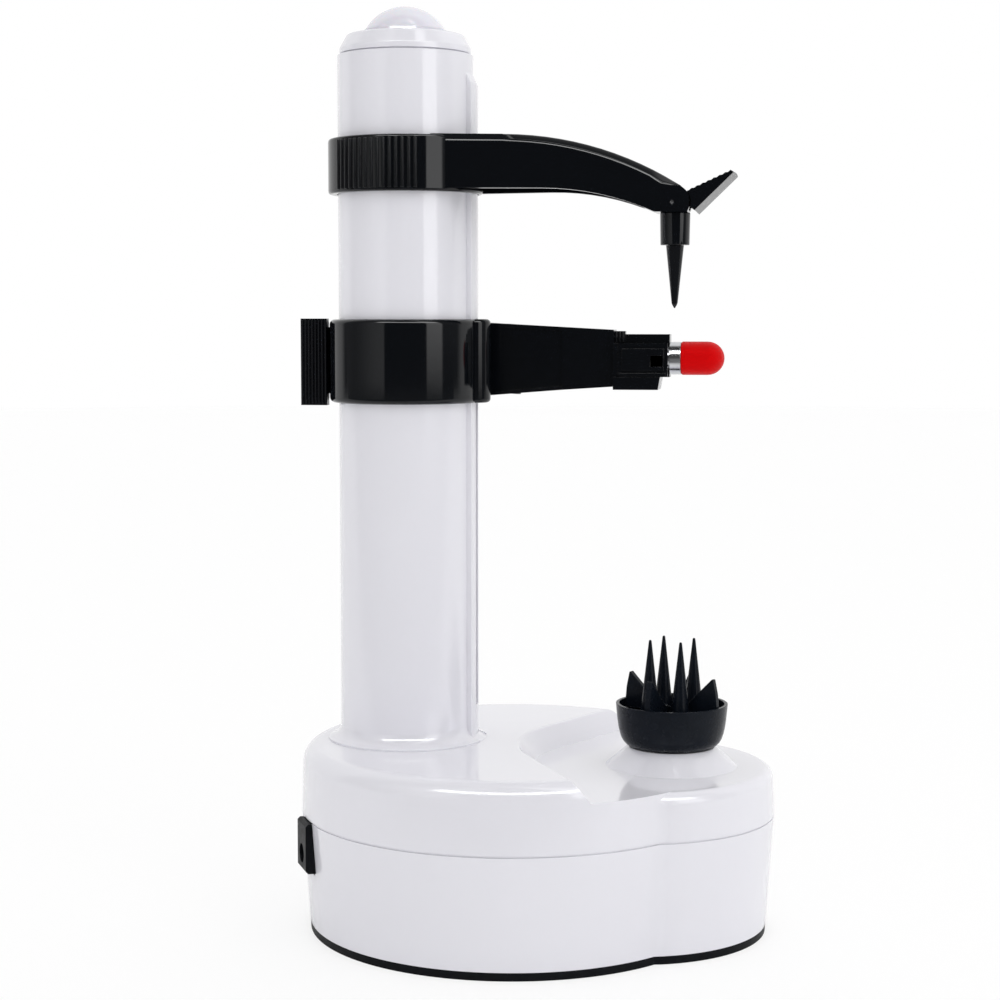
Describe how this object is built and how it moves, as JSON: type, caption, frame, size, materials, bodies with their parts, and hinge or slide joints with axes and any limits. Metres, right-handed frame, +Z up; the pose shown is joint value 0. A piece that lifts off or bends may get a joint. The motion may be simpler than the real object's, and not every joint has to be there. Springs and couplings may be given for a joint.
{
  "type": "electric potato peeler",
  "caption": "Electric potato peeler: a two-lobed base with a spinning pronged cup, a column with a start button, a spiked food arm and a screw-driven arm that carries a capped blade.",
  "frame": {"origin": "on the floor under the middle of the outline's box, in the plane through the column and the turntable", "axes": "+X from the column to the turntable, +Z up, so +Y is the side of the peel arm"},
  "size_m": [0.1504, 0.1334, 0.29],
  "materials": {
    "white_shell": "glossy",
    "black_gloss": "glossy",
    "black_matte": "satin",
    "rubber": "matte",
    "steel": "satin",
    "brass": "satin",
    "gear_white": "satin",
    "red_cap": "satin",
    "button_grey": "glossy"
  },
  "bodies": {
    "base": {"base_plate": "black_matte", "rubber_feet": "rubber", "base_screws": "steel", "lower_shell": "white_shell", "upper_shell": "white_shell", "jack_block": "black_gloss", "jack_pin": "brass", "gearbox_plate": "gear_white", "gearbox_screws": "steel", "drive_motor": "steel", "gear_axles": "steel", "turntable_bush": "brass", "column_tube": "white_shell", "guide_rail": "white_shell", "column_screws": "steel", "top_plate": "gear_white", "start_switch": "black_gloss", "button_spring": "steel", "column_cap": "white_shell"},
    "turntable": {"turntable_shaft": "steel", "turntable_gear": "gear_white", "turntable_cup": "black_gloss"},
    "compound": {"compound_gear": "gear_white"},
    "motor": {"motor_pinion": "brass"},
    "idler": {"idler_gear": "gear_white"},
    "lift": {"lead_screw": "steel", "lift_gear": "gear_white"},
    "button": {"start_button": "button_grey"},
    "food_holder": {"food_arm": "black_gloss", "spike_cup": "black_gloss", "lever_pin": "steel", "lever_spring": "steel"},
    "spike": {"spike": "black_gloss"},
    "lever": {"thumb_lever": "black_gloss"},
    "carriage": {"peel_collar": "black_gloss", "half_nut": "gear_white", "tab_pin": "steel", "arm_pin": "steel", "arm_spring": "steel"},
    "tab": {"release_tab": "black_gloss"},
    "arm": {"peel_arm": "black_gloss", "blade_holder": "black_gloss", "blade_cartridge": "black_gloss", "blade": "steel"},
    "cap": {"blade_cap": "red_cap"}
  },
  "joints": [
    {"name": "turntable_spin", "type": "hinge", "parent": "base", "child": "turntable", "pos_m": [0.0428, 0, 0.05], "axis": [0, 0, 1], "continuous": true},
    {"name": "compound_spin", "type": "hinge", "parent": "base", "child": "compound", "pos_m": [0.02159, -0.02121, 0.038], "axis": [0, 0, 1], "continuous": true},
    {"name": "motor_spin", "type": "hinge", "parent": "base", "child": "motor", "pos_m": [-0.00796, -0.02642, 0.036], "axis": [0, 0, 1], "continuous": true},
    {"name": "idler_spin", "type": "hinge", "parent": "base", "child": "idler", "pos_m": [-0.00088, 0.00252, 0.042], "axis": [0, 0, 1], "continuous": true},
    {"name": "lift_spin", "type": "hinge", "parent": "base", "child": "lift", "pos_m": [-0.04205, 0, 0.1], "axis": [0, 0, 1], "continuous": true},
    {"name": "start_press", "type": "slide", "parent": "base", "child": "button", "axis": [0, 0, -1], "range_m": [0, 0.002], "stiffness_N_per_m": 150, "springref_m": -0.004, "deforming": ["button_spring"]},
    {"name": "food_arm_slide", "type": "slide", "parent": "base", "child": "food_holder", "axis": [0, 0, 1], "range_m": [-0.032, 0.024]},
    {"name": "spike_spin", "type": "hinge", "parent": "food_holder", "child": "spike", "pos_m": [0.0428, 0, 0.215], "axis": [0, 0, 1], "continuous": true},
    {"name": "lever_press", "type": "hinge", "parent": "food_holder", "child": "lever", "pos_m": [0.0422, 0, 0.2285], "axis": [0, 1, 0], "range_deg": [0, 10], "stiffness_Nm_per_rad": 0.05, "springref_deg": -8.59},
    {"name": "peel_lift", "type": "slide", "parent": "base", "child": "carriage", "axis": [0, 0, 1], "range_m": [-0.082, 0]},
    {"name": "peel_arm_swing", "type": "hinge", "parent": "carriage", "child": "arm", "pos_m": [-0.01105, 0.0159, 0.18], "axis": [0, 0, 1], "range_deg": [0, 45], "stiffness_Nm_per_rad": 0.05, "springref_deg": -11.46},
    {"name": "tab_press", "type": "hinge", "parent": "carriage", "child": "tab", "pos_m": [-0.06885, 0.0032, 0.18], "axis": [0, 0, -1], "range_deg": [0, 10], "stiffness_Nm_per_rad": 0.03, "springref_deg": -11.46},
    {"name": "blade_cap_pull", "type": "slide", "parent": "arm", "child": "cap", "axis": [1, 0, 0], "range_m": [0, 0.016]}
  ],
  "couplings": [
    {"joint": "compound_spin", "follows": "turntable_spin", "ratio": -3},
    {"joint": "motor_spin", "follows": "turntable_spin", "ratio": 9},
    {"joint": "idler_spin", "follows": "turntable_spin", "ratio": -1.0588},
    {"joint": "lift_spin", "follows": "turntable_spin", "ratio": 1.125}
  ]
}
